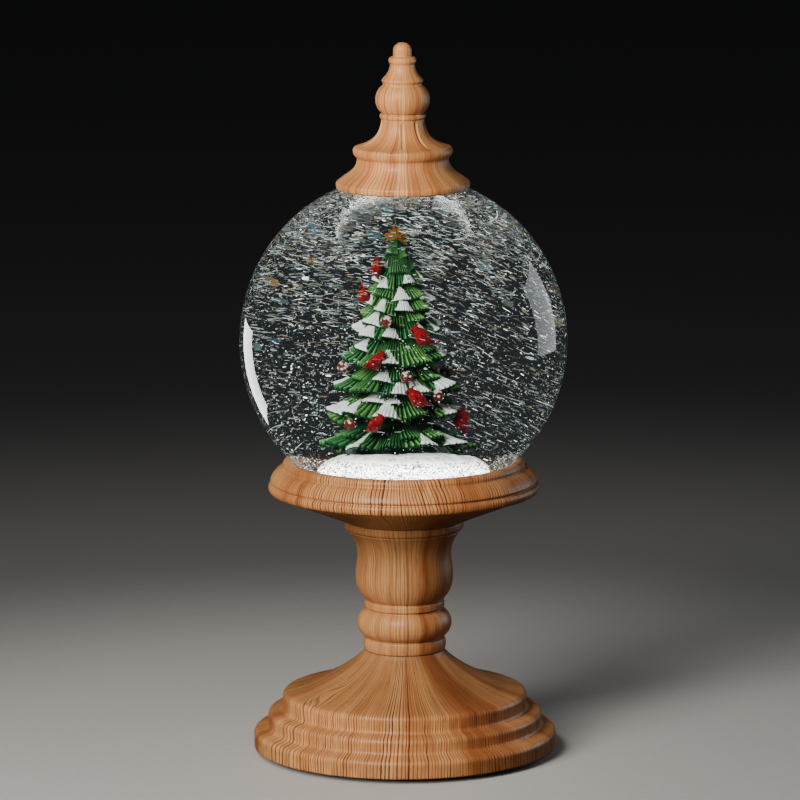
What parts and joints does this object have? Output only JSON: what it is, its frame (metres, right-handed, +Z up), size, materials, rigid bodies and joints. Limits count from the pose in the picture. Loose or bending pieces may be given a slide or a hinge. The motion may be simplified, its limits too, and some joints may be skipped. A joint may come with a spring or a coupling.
{
  "type": "snow globe",
  "caption": "Lighted snow globe on a turned pedestal: sealed water globe with a fir tree and birds, wood-look stepped base, magnetic swirl pump, switch and battery door.",
  "frame": {"origin": "on the surface that the feet stand on, under the middle of the base", "axes": "+Z up along the turning axis of the pedestal, -Y towards the front, +X to the right seen from the front"},
  "size_m": [0.13, 0.13, 0.285],
  "materials": {
    "wood_finish": "satin",
    "underside_plastic": "matte",
    "zinc_steel": "satin",
    "clear_rubber": "satin",
    "cell_jacket": "satin",
    "black_plastic": "satin",
    "white_plastic": "satin",
    "circuit_board": "satin",
    "lead_sleeve": "satin",
    "magnet": "polished",
    "led_lens": "gloss",
    "globe_glass": "polished",
    "clear_plastic": "gloss",
    "milky_plastic": "satin",
    "snow_resin": "matte",
    "tree_resin": "satin",
    "star_gold": "satin",
    "bird_resin": "satin",
    "pinecone_resin": "satin",
    "liquid": "gloss"
  },
  "bodies": {
    "pedestal": {"aa_cell_1": "cell_jacket", "aa_cell_2": "cell_jacket", "aa_cell_3": "cell_jacket", "base_plate": "underside_plastic", "base_plate_screws": "zinc_steel", "base_shell": "wood_finish", "battery_box": "underside_plastic", "board_components": "black_plastic", "cap_silicone": "clear_rubber", "cardinal_1": "bird_resin", "cardinal_2": "bird_resin", "cardinal_3": "bird_resin", "cardinal_4": "bird_resin", "cardinal_5": "bird_resin", "cardinal_6": "bird_resin", "cardinal_7": "bird_resin", "cardinal_8": "bird_resin", "cardinal_9": "bird_resin", "cell_contacts": "zinc_steel", "cell_springs": "zinc_steel", "column_screws": "zinc_steel", "control_board": "circuit_board", "drive_motor": "zinc_steel", "finial_cap": "wood_finish", "finial_spire": "wood_finish", "finial_stud": "zinc_steel", "glass_globe": "globe_glass", "globe_tray": "wood_finish", "impeller_housing": "white_plastic", "impeller_pin": "zinc_steel", "led_board": "circuit_board", "led_board_screws": "zinc_steel", "leds": "led_lens", "motor_sleeve": "clear_rubber", "pedestal_column": "wood_finish", "pinecones": "pinecone_resin", "rubber_feet": "clear_rubber", "seat_silicone": "clear_rubber", "snow_mound": "snow_resin", "snow_platform": "milky_plastic", "stopper": "clear_plastic", "stopper_gasket": "clear_rubber", "switch_body": "zinc_steel", "switch_screws": "zinc_steel", "tray_screws": "zinc_steel", "tree": "tree_resin", "tree_star": "star_gold", "water_fill": "liquid", "wire_loom": "lead_sleeve"},
    "motor_rotor": {"motor_shaft": "zinc_steel", "magnet_carrier": "white_plastic", "drive_magnets": "magnet"},
    "swirl_impeller": {"impeller": "white_plastic", "impeller_magnets": "magnet"},
    "power_slider": {"switch_slider": "black_plastic"},
    "battery_cover": {"battery_door": "underside_plastic", "door_screw": "zinc_steel"}
  },
  "joints": [
    {"name": "drive_spin", "type": "hinge", "parent": "pedestal", "child": "motor_rotor", "pos_m": [0, 0, 0.1055], "axis": [0, 0, 1], "continuous": true},
    {"name": "impeller_spin", "type": "hinge", "parent": "pedestal", "child": "swirl_impeller", "pos_m": [0, 0, 0.114], "axis": [0, 0, 1], "continuous": true},
    {"name": "switch_slide", "type": "slide", "parent": "pedestal", "child": "power_slider", "axis": [1, 0, 0], "range_m": [-0.0025, 0.0025]},
    {"name": "battery_door_hinge", "type": "hinge", "parent": "pedestal", "child": "battery_cover", "pos_m": [-0.0282, 0, 0.0024], "axis": [0, 1, 0], "range_deg": [0, 75]}
  ],
  "couplings": [
    {"joint": "impeller_spin", "follows": "drive_spin", "ratio": 1}
  ]
}
